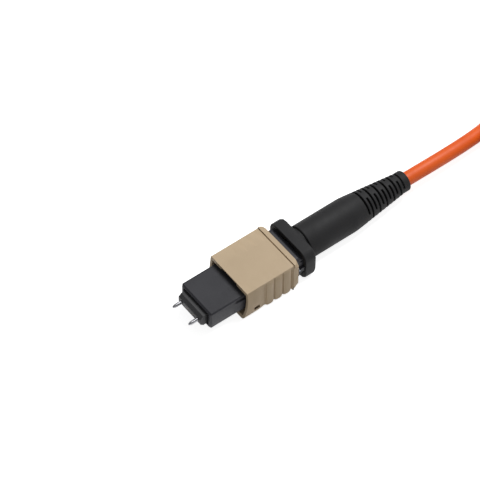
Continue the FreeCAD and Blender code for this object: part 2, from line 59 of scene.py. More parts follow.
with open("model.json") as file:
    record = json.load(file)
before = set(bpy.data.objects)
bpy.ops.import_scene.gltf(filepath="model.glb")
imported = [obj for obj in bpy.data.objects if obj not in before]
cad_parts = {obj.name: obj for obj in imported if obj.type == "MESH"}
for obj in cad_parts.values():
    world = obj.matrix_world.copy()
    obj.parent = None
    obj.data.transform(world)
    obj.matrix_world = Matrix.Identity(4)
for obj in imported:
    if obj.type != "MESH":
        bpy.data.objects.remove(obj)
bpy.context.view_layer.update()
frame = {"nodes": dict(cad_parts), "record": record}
nodes = frame["nodes"]


def node_box(name):
    """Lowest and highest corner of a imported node, in millimetres."""
    low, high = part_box(name)
    return low / MM, high / MM


def add_object(name, data):
    """New object in the scene."""
    made = bpy.data.objects.new(name, data)
    bpy.context.scene.collection.objects.link(made)
    return made


# A near piece stands on the far connector when it's turned round to where the far ferrule lies
near_low = node_box("mt_ferrule")[0]
far_low, far_high = node_box("far_mt_ferrule")
FAR_PLACE = (
    Matrix.Translation((far_high.x + near_low.x, (far_low.y + far_high.y) / 2, 0))
    @ Matrix.Rotation(math.pi, 4, "Z"))
ENDS = (("", Matrix.Identity(4)), ("far_", FAR_PLACE))


# ---------------------------------------------------------------- the cord

CABLE_DIAMETER = 2.7
CABLE_START = Vector((26.4, 0, 0))
STRAND_PITCH = 2.75
LAST_STRAND = 7
# Control points round one end of the hank, and points in a strand's whole turn
FOLD_STEPS = 6
TURN_POINTS = 2 * FOLD_STEPS + 4
# Share of its turn at which the first strand moves to its next place, how much earlier
# each later pair does, and how long the move takes
FIRST_SHIFT, SHIFT_STEP, SHIFT_LENGTH = 0.73, 0.2, 0.22

BOOT_TIP_X = node_box("strain_relief_boot")[1].x
far_cable_start = FAR_PLACE @ CABLE_START
hank_low, hank_high = node_box("cable_hank")
hank_middle = (hank_low + hank_high) / 2
outer_fold = (hank_high.y - hank_low.y - CABLE_DIAMETER) / 2
left_fold_x = hank_low.x + outer_fold + CABLE_DIAMETER / 2
right_fold_x = hank_high.x - outer_fold - CABLE_DIAMETER / 2
lowest_strand = hank_low.z + CABLE_DIAMETER / 2
highest_strand = hank_high.z - CABLE_DIAMETER / 2
outer_run_y = hank_middle.y + outer_fold

# The runs between each boot and the hank: points listed one by one
LEAD_ROUTE = [
    CABLE_START,
    Vector((44.2, 0, 0)),
    Vector((63.5, 0.2, -0.6)),
    Vector((71.2, 2.0, -1.7)),
    Vector((77.0, outer_run_y, lowest_strand)),
]
TAIL_ROUTE = [
    Vector((107.0, outer_run_y, highest_strand)),
    Vector((115.5, 1.3, 2.6)),
    Vector((124.5, -0.9, 0.2)),
    Vector((137.5, far_cable_start.y, 0)),
    far_cable_start,
]


def strand_place(strand, turn):
    """Fold radius and height of a strand of the hank at a share of its turn.

    The strands lie two abreast: the first outside, two inside, two outside and so on,
    and every second one climbs to the next layer instead of moving sideways.
    """
    start = FIRST_SHIFT - SHIFT_STEP * (strand // 2)
    shift = min(max((turn - start) / SHIFT_LENGTH, 0), 1)
    inside = strand % 4 in (1, 2)
    layer = strand // 2
    across = 1.0 if inside else 0.0
    if strand % 2:
        layer += math.sin(math.pi / 2 * shift)
    else:
        move = 1 - math.cos(math.pi / 2 * shift)
        across += -move if inside else move
    return outer_fold - STRAND_PITCH * across, lowest_strand + STRAND_PITCH * layer


def fold_points(strand, first_step, centre_x, side):
    """Points of a strand round one end of the hank."""
    half_step = math.pi / FOLD_STEPS / 2
    points = []
    for step in range(FOLD_STEPS):
        radius, height = strand_place(strand, (first_step + step + 0.5) / TURN_POINTS)
        angle = (2 * step + 1) * half_step
        reach = side * radius / math.cos(half_step)
        points.append(Vector((
            centre_x + reach * math.sin(angle),
            hank_middle.y + reach * math.cos(angle),
            height,
        )))
    return points


def run_points(strand, first_step, side):
    """The two points of a strand's straight run on one side of the hank."""
    points = []
    for step in range(2):
        radius, height = strand_place(strand, (first_step + step + 0.5) / TURN_POINTS)
        inset = radius * math.tan(math.pi / FOLD_STEPS / 2)
        ends = (left_fold_x + inset, right_fold_x - inset)
        x = ends[step] if side > 0 else ends[1 - step]
        points.append(Vector((x, hank_middle.y + side * radius, height)))
    return points


def cord_route():
    """Control points of the whole cord: lead, hank, and the run into the far boot."""
    points = list(LEAD_ROUTE)
    for strand in range(LAST_STRAND):
        points += run_points(strand, 0, 1)
        points += fold_points(strand, 2, right_fold_x, 1)
        points += run_points(strand, FOLD_STEPS + 2, -1)
        points += fold_points(strand, FOLD_STEPS + 4, left_fold_x, -1)
    points += run_points(LAST_STRAND, 0, 1)
    return points + TAIL_ROUTE


def mesh_of_curve(curve):
    """Mesh of a curve, which is used up."""
    scratch = bpy.data.objects.new("scratch", curve)
    mesh = bpy.data.meshes.new_from_object(scratch)
    bpy.data.objects.remove(scratch)
    bpy.data.curves.remove(curve)
    return mesh


def cord_length(cable):
    """Length of the cable's own line in metres."""
    line = cable.data.copy()
    line.bevel_depth = 0
    mesh = mesh_of_curve(line)
    ends = [[mesh.vertices[number].co for number in edge.vertices] for edge in mesh.edges]
    length = sum((end - start).length for start, end in ends)
    bpy.data.meshes.remove(mesh)
    return length


def round_curve(name, points, thickness, rings, unit):
    """Smooth round curve along control points, all in millimetres, made in that unit.

    The unit is the points' radius too, because a curve's box is widened by that radius.
    """
    curve = bpy.data.curves.new(name, "CURVE")
    curve.dimensions = "3D"
    curve.resolution_u = 10
    curve.bevel_depth = thickness / 2
    curve.bevel_resolution = rings
    curve.use_fill_caps = True
    spline = curve.splines.new("NURBS")
    spline.points.add(len(points) - 1)
    for point, place in zip(spline.points, points):
        point.co = (*(place * unit), 1)
        point.radius = unit
    spline.order_u = 3
    spline.use_endpoint_u = True
    spline.use_smooth = True
    return curve


def make_cord():
    """The cable as one smooth round curve."""
    curve = round_curve("cable", cord_route(), CABLE_DIAMETER, 8, MM)
    cable = add_object("cable", curve)
    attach(cable, "root")
    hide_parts("cable_lead", "cable_hank", "cable_tail")
    curve.materials.append(finishes["cable_jacket"])
    return cable


# ---------------------------------------------------------------- effects shared by the finishes

def new_group(name, inputs, outputs):
    """Empty shader node group with its sockets."""
    group = bpy.data.node_groups.new(name, "ShaderNodeTree")
    for socket, kind, value in inputs:
        made = group.interface.new_socket(name=socket, in_out="INPUT", socket_type=kind)
        made.default_value = value
    for socket, kind in outputs:
        group.interface.new_socket(name=socket, in_out="OUTPUT", socket_type=kind)
    return group, group.nodes.new("NodeGroupInput"), group.nodes.new("NodeGroupOutput")


def fill_sockets(tree, node, values, links):
    """Values set on a node's sockets and links made into them, both by socket name or number."""
    for socket, value in dict(values).items():
        node.inputs[socket].default_value = value
    for socket, source in dict(links).items():
        tree.links.new(source, node.inputs[socket])
    return node


def add_node(tree, kind, values=(), links=()):
    """New node with its values and links."""
    return fill_sockets(tree, tree.nodes.new(kind), values, links)


def add_math(tree, operation, first, second):
    """Result of a sum on one value socket and a second socket or number."""
    if isinstance(second, float):
        node = add_node(tree, "ShaderNodeMath", {1: second}, {0: first})
    else:
        node = add_node(tree, "ShaderNodeMath", {}, {0: first, 1: second})
    node.operation = operation
    return node.outputs[0]


def object_place(tree):
    """Socket with the place on the object."""
    return add_node(tree, "ShaderNodeTexCoord").outputs["Object"]


def map_range(tree, value, limits):
    """A value socket mapped between limits, given by their sockets' names."""
    return add_node(tree, "ShaderNodeMapRange", limits, {"Value": value}).outputs[0]


def noise(tree, place, values, links=()):
    """Value socket of a noise pattern laid over a place socket."""
    links = {"Vector": place, **dict(links)}
    return add_node(tree, "ShaderNodeTexNoise", values, links).outputs[0]


def make_mould_grain():
    """Fine pebbled grain of a moulded face with a slower unevenness under it."""
    group, given, result = new_group(
        "mould_grain",
        [("Grain Scale", "NodeSocketFloat", 9000.0), ("Grain Height", "NodeSocketFloat", 0.000004),
         ("Wave Scale", "NodeSocketFloat", 500.0), ("Wave Height", "NodeSocketFloat", 0.00001)],
        [("Normal", "NodeSocketVector")],
    )
    place = object_place(group)
    wave = noise(group, place, {"Detail": 2.0}, {"Scale": given.outputs["Wave Scale"]})
    grain = noise(group, place, {"Detail": 4.0}, {"Scale": given.outputs["Grain Scale"]})
    wave_bump = add_node(group, "ShaderNodeBump", {}, {
        "Height": wave, "Distance": given.outputs["Wave Height"]})
    grain_bump = add_node(group, "ShaderNodeBump", {}, {
        "Height": grain, "Distance": given.outputs["Grain Height"],
        "Normal": wave_bump.outputs["Normal"]})
    group.links.new(grain_bump.outputs["Normal"], result.inputs["Normal"])
    return group


def make_tone():
    """Slow cloudy change of tone with fine speckle."""
    group, given, result = new_group(
        "tone_variation",
        [("Color", "NodeSocketColor", (0.5, 0.5, 0.5, 1)),
         ("Second Color", "NodeSocketColor", (0.4, 0.4, 0.4, 1)),
         ("Cloud Scale", "NodeSocketFloat", 160.0), ("Amount", "NodeSocketFloat", 0.5)],
        [("Color", "NodeSocketColor"), ("Mask", "NodeSocketFloat")],
    )
    place = object_place(group)
    cloud = noise(
        group, place, {"Detail": 5.0, "Roughness": 0.6}, {"Scale": given.outputs["Cloud Scale"]})
    speckle = noise(group, place, {"Scale": 4500.0, "Detail": 1.0})
    total = add_math(group, "ADD", cloud, add_math(group, "MULTIPLY", speckle, 0.35))
    mask = map_range(group, total, {"From Min": 0.45, "From Max": 0.9})
    share = add_math(group, "MULTIPLY", mask, given.outputs["Amount"])
    mix = mix_colors(group, share, given.outputs["Color"], given.outputs["Second Color"])
    group.links.new(mix, result.inputs["Color"])
    group.links.new(mask, result.inputs["Mask"])
    return group


# A Mix node has a set of sockets for each kind of value: these are the ones for colours
MIX_SHARE, MIX_FIRST, MIX_SECOND, MIX_RESULT = 0, 6, 7, 2


def mix_colors(tree, share, first, second):
    """Mixed colour of two sockets."""
    mix = tree.nodes.new("ShaderNodeMix")
    mix.data_type = "RGBA"
    fill_sockets(tree, mix, {}, {MIX_SHARE: share, MIX_FIRST: first, MIX_SECOND: second})
    return mix.outputs[MIX_RESULT]


def make_edge_wear_and_hollow_shade():
    """Lighter rubbed edges, and painted shade that darkens the corners and hollows, from how the surface
    bends.
    """
    group, given, result = new_group(
        "edge_wear_and_hollow_shade",
        [("Color", "NodeSocketColor", (0.5, 0.5, 0.5, 1)),
         ("Worn Color", "NodeSocketColor", (0.7, 0.7, 0.7, 1)),
         ("Hollow Shade Color", "NodeSocketColor", (0.2, 0.2, 0.2, 1)), ("Amount", "NodeSocketFloat", 0.5)],
        [("Color", "NodeSocketColor"), ("Worn", "NodeSocketFloat")],
    )
    bend = add_node(group, "ShaderNodeNewGeometry").outputs["Pointiness"]
    place = object_place(group)
    patches = noise(group, place, {"Scale": 700.0, "Detail": 3.0})
    edge = map_range(group, bend, {"From Min": 0.51, "From Max": 0.6})
    rubbed = add_math(group, "MULTIPLY", edge, patches)
    worn = add_math(group, "MULTIPLY", rubbed, given.outputs["Amount"])
    # Painted shade: hollows and inner corners darkened as if shadow fell in them
    hollow = map_range(group, bend, {"From Min": 0.49, "From Max": 0.4})
    painted_hollow_shade = add_math(group, "MULTIPLY", hollow, given.outputs["Amount"])
    light = mix_colors(group, worn, given.outputs["Color"], given.outputs["Worn Color"])
    full = mix_colors(group, painted_hollow_shade, light, given.outputs["Hollow Shade Color"])
    group.links.new(full, result.inputs["Color"])
    group.links.new(worn, result.inputs["Worn"])
    return group


mould_grain = make_mould_grain()
tone_variation = make_tone()
edge_wear_and_hollow_shade = make_edge_wear_and_hollow_shade()


def use_group(tree, group, values=(), links=()):
    """A shared effect placed in a finish."""
    node = tree.nodes.new("ShaderNodeGroup")
    node.node_tree = group
    return fill_sockets(tree, node, values, links)


# ---------------------------------------------------------------- finishes

def shade(color, factor):
    """The colour lighter or darker by a factor, as a four-value colour."""
    return (*(min(channel * factor, 1.0) for channel in color), 1)


def new_finish(name, roughness, metallic=0.0):
    """Material with its shader, and the tree to fill."""
    material = bpy.data.materials.new(name)
    material.use_nodes = True
    shader = material.node_tree.nodes["Principled BSDF"]
    shader.inputs["Roughness"].default_value = roughness
    shader.inputs["Metallic"].default_value = metallic
    return material, material.node_tree, shader


def finish_shader(tree, shader, color, roughness, normal):
    """What changes over the surface, led into the shader; roughness may be left out."""
    links = {"Base Color": color, "Normal": normal}
    if roughness is not None:
        links["Roughness"] = roughness
    fill_sockets(tree, shader, {}, links)


# Painted shade: share of the colour that the hollows are darkened to
HOLLOW_SHADE = 0.35
PLASTIC_SHINE = 0.3
FINE_GRAIN, RUBBER_GRAIN, SOFT_GRAIN = (9000.0, 0.000004), (7000.0, 0.000006), (5000.0, 0.000008)


def moulded(name, color, roughness, second, amount, worn, wear_and_shade, grain=FINE_GRAIN, shine=PLASTIC_SHINE):
    """Moulded plastic or rubber: cloudy tone, rubbed edges, painted shade in the hollows, pebbled grain.

    The second and the worn tone are shares of the colour, amount and wear say how much of each shows, wear
    also sets how much painted shade darkens the hollows, and the grain is its scale and its height.
    """
    material, tree, shader = new_finish(name, roughness)
    shader.inputs["Specular IOR Level"].default_value = shine
    tone = use_group(tree, tone_variation, {
        "Color": (*color, 1), "Second Color": shade(color, second), "Amount": amount})
    # Rubbed edges, and painted shade darkening the hollows
    edges = use_group(tree, edge_wear_and_hollow_shade, {
        "Worn Color": shade(color, worn), "Hollow Shade Color": shade(color, HOLLOW_SHADE), "Amount": wear_and_shade},
        {"Color": tone.outputs["Color"]})
    surface = use_group(tree, mould_grain, {"Grain Scale": grain[0], "Grain Height": grain[1]})
    gloss = map_range(tree, tone.outputs["Mask"], {
        "To Min": roughness - 0.05, "To Max": min(roughness + 0.1, 1.0)})
    finish_shader(tree, shader, edges.outputs["Color"], gloss, surface.outputs["Normal"])
    return material


def drawn_metal(name, color, roughness, stretch, height):
    """Metal with fine lines along its length."""
    material, tree, shader = new_finish(name, roughness, 1.0)
    place = object_place(tree)
    lines = add_node(tree, "ShaderNodeMapping", {"Scale": stretch}, {"Vector": place})
    scratches = noise(tree, lines.outputs[0], {"Scale": 3000.0, "Detail": 6.0})
    tone = use_group(tree, tone_variation, {
        "Color": (*color, 1), "Second Color": shade(color, 0.8), "Cloud Scale": 600.0})
    gloss = map_range(tree, scratches, {"To Min": roughness * 0.6, "To Max": roughness * 1.5})
    bump = add_node(tree, "ShaderNodeBump", {"Distance": height}, {"Height": scratches})
    finish_shader(tree, shader, tone.outputs["Color"], gloss, bump.outputs["Normal"])
    return material


def cable_jacket():
    """Extruded orange jacket: satin, with a cloudy tone, a fine grain and a slow waviness."""
    material, tree, shader = new_finish("cable_jacket", 0.5)
    shader.inputs["Specular IOR Level"].default_value = PLASTIC_SHINE
    tone = use_group(tree, tone_variation, {
        "Color": (0.76, 0.118, 0.014, 1), "Second Color": (0.63, 0.085, 0.01, 1),
        "Cloud Scale": 300.0, "Amount": 0.7})
    surface = use_group(tree, mould_grain, {
        "Grain Scale": 6000.0, "Grain Height": 0.000005, "Wave Scale": 700.0, "Wave Height": 0.00002})
    gloss = map_range(tree, tone.outputs["Mask"], {"To Min": 0.42, "To Max": 0.58})
    finish_shader(tree, shader, tone.outputs["Color"], gloss, surface.outputs["Normal"])
    return material


def yarn_finish():
    """Golden yarn laid along the cable."""
    material, tree, shader = new_finish("aramid_fibre", 0.6)
    place = object_place(tree)
    along = add_node(tree, "ShaderNodeMapping", {"Scale": (0.06, 1, 1)}, {"Vector": place})
    strands = noise(tree, along.outputs[0], {"Scale": 5000.0, "Detail": 3.0})
    ramp = tree.nodes.new("ShaderNodeValToRGB")
    ramp.color_ramp.elements[0].color = (0.35, 0.23, 0.04, 1)
    ramp.color_ramp.elements[1].color = (0.85, 0.68, 0.22, 1)
    tree.links.new(strands, ramp.inputs[0])
    bump = add_node(tree, "ShaderNodeBump", {"Distance": 0.00006}, {"Height": strands})
    finish_shader(tree, shader, ramp.outputs[0], None, bump.outputs["Normal"])
    return material


FIBRE_COLORS = (
    (0.02, 0.1, 0.5), (0.8, 0.2, 0.02), (0.03, 0.35, 0.08), (0.16, 0.06, 0.02), (0.2, 0.22, 0.25),
    (0.8, 0.8, 0.8), (0.6, 0.02, 0.02), (0.01, 0.01, 0.01), (0.8, 0.65, 0.02), (0.2, 0.04, 0.35),
    (0.8, 0.3, 0.35), (0.1, 0.55, 0.6),
)
FIBRE_PITCH = 0.25


def ribbon_finish():
    """Clear-coated ribbon of twelve coloured fibres side by side."""
    material, tree, shader = new_finish("ribbon_coating", 0.3)
    shader.inputs["Coat Weight"].default_value = 0.5
    place = object_place(tree)
    parts = add_node(tree, "ShaderNodeSeparateXYZ", {}, {0: place})
    half_width = FIBRE_PITCH * len(FIBRE_COLORS) / 2 * MM
    across = map_range(tree, parts.outputs["Y"], {"From Min": -half_width, "From Max": half_width})
    ramp = tree.nodes.new("ShaderNodeValToRGB")
    ramp.color_ramp.interpolation = "CONSTANT"
    for number, color in enumerate(FIBRE_COLORS[1:], 1):
        element = ramp.color_ramp.elements.new(number / len(FIBRE_COLORS))
        element.color = (*color, 1)
    ramp.color_ramp.elements[0].color = (*FIBRE_COLORS[0], 1)
    tree.links.new(across, ramp.inputs[0])
    rounds = add_math(tree, "MULTIPLY", parts.outputs["Y"], 2 * math.pi / (FIBRE_PITCH * MM))
    crowns = add_node(tree, "ShaderNodeMath", {}, {0: rounds})
    crowns.operation = "COSINE"
    bump = add_node(tree, "ShaderNodeBump", {"Distance": 0.00004}, {"Height": crowns.outputs[0]})
    finish_shader(tree, shader, ramp.outputs[0], None, bump.outputs["Normal"])
    return material


def strap_finish():
    """Hook-and-loop strap: a felt of tiny loops over a woven base."""
    material, tree, shader = new_finish("tie_fabric", 0.85)
    shader.inputs["Sheen Weight"].default_value = 0.4
    place = object_place(tree)
    loops = add_node(tree, "ShaderNodeTexVoronoi", {"Scale": 2600.0}, {"Vector": place})
    weave = noise(tree, place, {"Scale": 1500.0, "Detail": 5.0})
    ramp = tree.nodes.new("ShaderNodeValToRGB")
    ramp.color_ramp.elements[0].color = (0.045, 0.045, 0.05, 1)
    ramp.color_ramp.elements[1].color = (0.008, 0.008, 0.009, 1)
    tree.links.new(loops.outputs["Distance"], ramp.inputs[0])
    height = add_math(tree, "ADD", loops.outputs["Distance"], weave)
    bump = add_node(tree, "ShaderNodeBump", {"Distance": 0.00012}, {"Height": height})
    finish_shader(tree, shader, ramp.outputs[0], None, bump.outputs["Normal"])
    return material


finishes = {
    "sleeve_plastic": moulded(
        "sleeve_plastic", (0.47, 0.36, 0.235), 0.52, second=0.92, amount=0.7, worn=1.25, wear_and_shade=0.35),
    "housing_plastic": moulded(
        "housing_plastic", (0.027, 0.027, 0.033), 0.48, second=0.7, amount=0.6, worn=2.0, wear_and_shade=0.5),
    "ferrule_plastic": moulded(
        "ferrule_plastic", (0.04, 0.04, 0.042), 0.45, second=0.75, amount=0.6, worn=1.8, wear_and_shade=0.4),
    "boot_rubber": moulded(
        "boot_rubber", (0.024, 0.024, 0.025), 0.6, second=0.75, amount=0.6, worn=1.8, wear_and_shade=0.4,
        grain=RUBBER_GRAIN, shine=0.15),
    "inner_rubber": moulded(
        "inner_rubber", (0.03, 0.03, 0.03), 0.65, second=0.8, amount=0.5, worn=1.6, wear_and_shade=0.3,
        grain=SOFT_GRAIN),
    "pin_steel": drawn_metal("pin_steel", (0.4, 0.4, 0.42), 0.28, (1, 0.05, 0.05), 0.0000015),
    "spring_steel": drawn_metal("spring_steel", (0.46, 0.49, 0.55), 0.25, (0.2, 0.2, 0.2), 0.000002),
    "crimp_metal": drawn_metal("crimp_metal", (0.6, 0.56, 0.48), 0.3, (0.1, 1, 1), 0.000004),
    "cable_jacket": cable_jacket(),
    "aramid_fibre": yarn_finish(),
    "ribbon_coating": ribbon_finish(),
    "tie_fabric": strap_finish(),
}


def dress_nodes():
    """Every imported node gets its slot's finish."""
    for part in frame["record"]["subparts"]:
        mesh = nodes[part["node"]].data
        mesh.materials.clear()
        mesh.materials.append(finishes[part["material_slot"]])


# ---------------------------------------------------------------- modelling helpers

SHARP_ANGLE = math.radians(32)
FLAT_ANGLE = math.radians(0.5)
# Corners nearer than these, in millimetres, are one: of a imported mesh, a finished form, and in a test
PACKED_DOUBLE, FORM_DOUBLE, SAME_PLACE = 0.001, 0.0005, 1e-4
# An edge that climbs no more steeply than this runs along the X axis
LONG_SLOPE = 0.5
# A face whose normal has this share along an axis looks that way
FACING = 0.9


def slab(low, high):
    """Box between two corners."""
    form = bmesh.new()
    bmesh.ops.create_cube(form, size=1)
    low, high = Vector(low), Vector(high)
    bmesh.ops.scale(form, vec=high - low, verts=form.verts)
    bmesh.ops.translate(form, vec=(low + high) / 2, verts=form.verts)
    return form


def cut_across(form, axis, places):
    """Loops of edges round a form at places along an axis."""
    normal = Vector([number == axis for number in range(3)])
    for place in places:
        geometry = form.verts[:] + form.edges[:] + form.faces[:]
        bmesh.ops.bisect_plane(
            form, geom=geometry, dist=SAME_PLACE / 10, plane_co=normal * place, plane_no=normal)


def edges_where(form, test):
    """Edges whose middle and direction pass a test."""
    return [
        edge for edge in form.edges
        if test((edge.verts[0].co + edge.verts[1].co) / 2, edge.verts[1].co - edge.verts[0].co)
    ]


def faces_where(form, test):
    """Faces whose middle and normal pass a test."""
    form.normal_update()
    return [face for face in form.faces if test(face.calc_center_median(), face.normal)]


def round_edges(form, edges, radius, segments):
    """Edges rounded in so many segments."""
    bmesh.ops.bevel(
        form, geom=edges, offset=radius, offset_type="OFFSET", segments=segments,
        affect="EDGES", profile=0.5, material=-1, clamp_overlap=True,
    )


def runs_along_x(along, slope=LONG_SLOPE):
    """Whether a direction lies along X, give or take a slope."""
    return abs(along.x) * slope > abs(along.y) + abs(along.z)


def round_long_edges(form, radius, segments, from_height=0):
    """Edges that run along X at least so far above or below the axis, rounded."""
    long_edges = edges_where(
        form, lambda middle, along: runs_along_x(along) and abs(middle.z) > from_height)
    round_edges(form, long_edges, radius, segments)


def open_ends(form, places):
    """The end faces at places along X taken away."""
    ends = [
        face for face in form.faces
        if any(all(abs(vert.co.x - place) < SAME_PLACE for vert in face.verts) for place in places)
    ]
    bmesh.ops.delete(form, geom=ends, context="FACES")


def join_rims(form, test):
    """Open rims whose edges pass a test, joined by a ring of faces."""
    rims = [edge for edge in edges_where(form, test) if edge.is_boundary]
    bmesh.ops.bridge_loops(form, edges=rims)


def join_ends(form, places, reach=SAME_PLACE):
    """Outer and inner wall joined by a ring of faces at places along X."""
    for place in places:
        join_rims(form, lambda middle, along: abs(middle.x - place) < reach)


def drawn_corners(form, faces):
    """Faces drawn out of a form with walls behind them: their corners, still to be moved."""
    drawn = bmesh.ops.extrude_face_region(form, geom=faces)["geom"]
    bmesh.ops.delete(form, geom=faces, context="FACES")
    return [vert for vert in drawn if isinstance(vert, bmesh.types.BMVert)]


def add_form(form, added):
    """A second form added to the first and used up."""
    mesh = bpy.data.meshes.new("added")
    added.to_mesh(mesh)
    added.free()
    form.from_mesh(mesh)
    bpy.data.meshes.remove(mesh)


def put_inside(outer, inner):
    """A second form added to the first, turned inside out to be its inner wall."""
    bmesh.ops.reverse_faces(inner, faces=inner.faces)
    add_form(outer, inner)


def turned_form(outline, steps):
    """Form turned about X from an outline of (x, radius) points."""
    form = bmesh.new()
    corners = [form.verts.new((x, 0, radius)) for x, radius in outline]
    edges = [form.edges.new(pair) for pair in zip(corners, corners[1:])]
    if outline[0][1] and outline[-1][1]:
        edges.append(form.edges.new((corners[-1], corners[0])))
    bmesh.ops.spin(
        form, geom=corners + edges, cent=(0, 0, 0), axis=(1, 0, 0), dvec=(0, 0, 0),
        angle=2 * math.pi, steps=steps, use_merge=True, use_duplicate=False,
    )
    bmesh.ops.remove_doubles(form, verts=form.verts, dist=SAME_PLACE)
    bmesh.ops.recalc_face_normals(form, faces=form.faces)
    return form


def packed_form(node):
    """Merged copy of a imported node's mesh in millimetres, its flat faces joined up."""
    form = bmesh.new()
    form.from_mesh(nodes[node].data)
    bmesh.ops.scale(form, vec=(1 / MM, 1 / MM, 1 / MM), verts=form.verts)
    bmesh.ops.remove_doubles(form, verts=form.verts, dist=PACKED_DOUBLE)
    bmesh.ops.dissolve_limit(form, angle_limit=FLAT_ANGLE, verts=form.verts, edges=form.edges)
    return form


def clean_up(form):
    """Doubled corners and faces with no area taken away."""
    bmesh.ops.remove_doubles(form, verts=form.verts, dist=FORM_DOUBLE)
    bmesh.ops.dissolve_degenerate(form, edges=form.edges, dist=FORM_DOUBLE)


def piece_from(form, name, place, finish, body, soften=0.0):
    """Finished object from a form in millimetres, with its edges softened."""
    clean_up(form)
    mesh = bpy.data.meshes.new(name)
    form.to_mesh(mesh)
    mesh.transform(Matrix.Scale(MM, 4) @ place)
    mesh.shade_smooth()
    mesh.set_sharp_from_angle(angle=SHARP_ANGLE)
    mesh.materials.append(finishes[finish])
    piece = add_object(name, mesh)
    if soften:
        bevel = piece.modifiers.new("softened_edges", "BEVEL")
        bevel.width = soften * MM
        bevel.segments = 2
        bevel.limit_method = "ANGLE"
        bevel.angle_limit = SHARP_ANGLE
        weights = piece.modifiers.new("flat_faces", "WEIGHTED_NORMAL")
        weights.keep_sharp = True
    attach(piece, body)
    return piece


def fit_out(name, form, finish, group, stands_for=(), soften=0.0):
    """The same piece on both connectors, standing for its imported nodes."""
    made = []
    for prefix, place in ENDS:
        body = "root" if group == "root" else prefix + group
        piece = piece_from(form, prefix + name, place, finish, body, soften)
        if stands_for:
            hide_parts(*(prefix + node for node in stands_for))
        made.append(piece)
    form.free()
    return made


# ---------------------------------------------------------------- coupling sleeve

sleeve_low, sleeve_high = node_box("coupling_sleeve")
MOUTH_REAR, SLEEVE_REAR = sleeve_low.x, sleeve_high.x
SLEEVE_FLOOR, LIP_TOP = sleeve_low.z, sleeve_high.z
SLEEVE_SIDE = 5.25
SIDE_SWELL = 0.27
BORE_SIDE, BORE_TOP, BORE_CORNER = 4.5, 2.8, 0.5
SPRING_GROOVE_SIDE, SPRING_GROOVE_HALF, SPRING_GROOVE_START = 4.92, 0.64, 13.2
ROOF_EDGE, FLOOR_EDGE = 0.18, 0.7

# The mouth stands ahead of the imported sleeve, flares, and has a keyway in its roof
MOUTH_LENGTH = 0.85
SLEEVE_FRONT = MOUTH_REAR - MOUTH_LENGTH
MOUTH_SIDE, MOUTH_TOP, MOUTH_FLARE_REAR = 4.72, 2.5, 9.6
RIM_CURVE = 2.5
ROOF_HEIGHT = 2.0
KEYWAY_HALF, KEYWAY_SLOPE, KEYWAY_TOP = 2.25, 0.12, 3.0
KEYWAY_CUTS = [side * (KEYWAY_HALF - slope) for side in (-1, 1) for slope in (0, KEYWAY_SLOPE)]

# Ribs: each point is a share of the pitch and how far the side stands out there.
# After the last rib, the first points of one more rise to the rear lip.
GRIP_START, RIB_PITCH, RIB_COUNT = MOUTH_REAR + 3.85, 1.873, 3
RIB_OUTLINE = ((0.0, -0.13), (0.1, -0.06), (0.16, 0.12), (0.34, 0.24), (0.6, 0.28), (0.85, 0.2), (0.97, 0.08))
LIP_RISE_POINTS, LIP_RISE_SHARE = 4, 0.3
SIDE_LIP_START = GRIP_START + RIB_COUNT * RIB_PITCH
RIB_SLOPE = 12

# The lip round the rear end, with a fine groove ahead of it in the top
TOP_LIP_START = SLEEVE_REAR - 0.9
LIP_STEP = 0.15
PLAIN_TOP = LIP_TOP - LIP_STEP
LIP_GROOVE_WIDTH, LIP_GROOVE_DEPTH, LIP_GROOVE_WALL = 0.2, 0.1, 0.02
REAR_CORNER, REAR_ROUNDING, REAR_ANGLES = 1.25, 0.25, (0, 30, 55, 75)

# The small hole through each side, and the rows of edges that the sides are cut into
HOLE_FRONT, HOLE_REAR, HOLE_LOW, HOLE_HIGH = 10.0, 11.2, -2.2, -1.4
SIDE_ROWS = [HOLE_LOW, HOLE_HIGH, -SPRING_GROOVE_HALF, SPRING_GROOVE_HALF, 1.5, 2.6]
INNER_ROWS = [HOLE_LOW - 0.55] + SIDE_ROWS[1:]

# How far off a corner or an edge may be and still count as lying at a place
NEARBY = 0.1


def sleeve_side_at(x, z):
    """Half width of the sleeve: plain, then ribbed below the roof's edge, then the rear lip."""
    reach = SLEEVE_SIDE
    if z > BORE_TOP:
        return reach + (LIP_STEP if x > TOP_LIP_START - LIP_GROOVE_WALL / 2 else 0)
    for number in range(RIB_COUNT + 1):
        for share, swell in RIB_OUTLINE:
            if abs(x - GRIP_START - (number + share) * RIB_PITCH) < 1e-3:
                reach = SLEEVE_SIDE + swell
    if x > SIDE_LIP_START + LIP_RISE_SHARE * RIB_PITCH:
        reach = SLEEVE_SIDE + LIP_STEP
    return reach


def rear_rounding(x, radius):
    """How far a corner of that radius at the rear end pulls a side in at x."""
    along = max(x - (SLEEVE_REAR - radius), 0)
    return radius - math.sqrt(max(radius * radius - along * along, 0))


def sleeve_top_at(x):
    """Height of the sleeve's top at x: a fine groove, then the raised lip."""
    if x < TOP_LIP_START - LIP_GROOVE_WIDTH - LIP_GROOVE_WALL / 2:
        return PLAIN_TOP
    if x < TOP_LIP_START - LIP_GROOVE_WALL / 2:
        return PLAIN_TOP - LIP_GROOVE_DEPTH
    return LIP_TOP


def side_swell_at(x, z):
    """How far the sleeve's side stands out ahead of the ribs: most at half height."""
    return SIDE_SWELL * (1 - (z / SLEEVE_FLOOR) ** 2) if x < GRIP_START - 0.01 else 0.0


def shape_rim(form):
    """The front end set back towards the roof, so that the floor reaches out furthest."""
    for vert in form.verts:
        if vert.co.x < MOUTH_REAR - NEARBY:
            drop = min(max((PLAIN_TOP - vert.co.z) / (PLAIN_TOP - SLEEVE_FLOOR), 0), 1)
            vert.co.x = MOUTH_REAR - MOUTH_LENGTH * drop ** RIM_CURVE


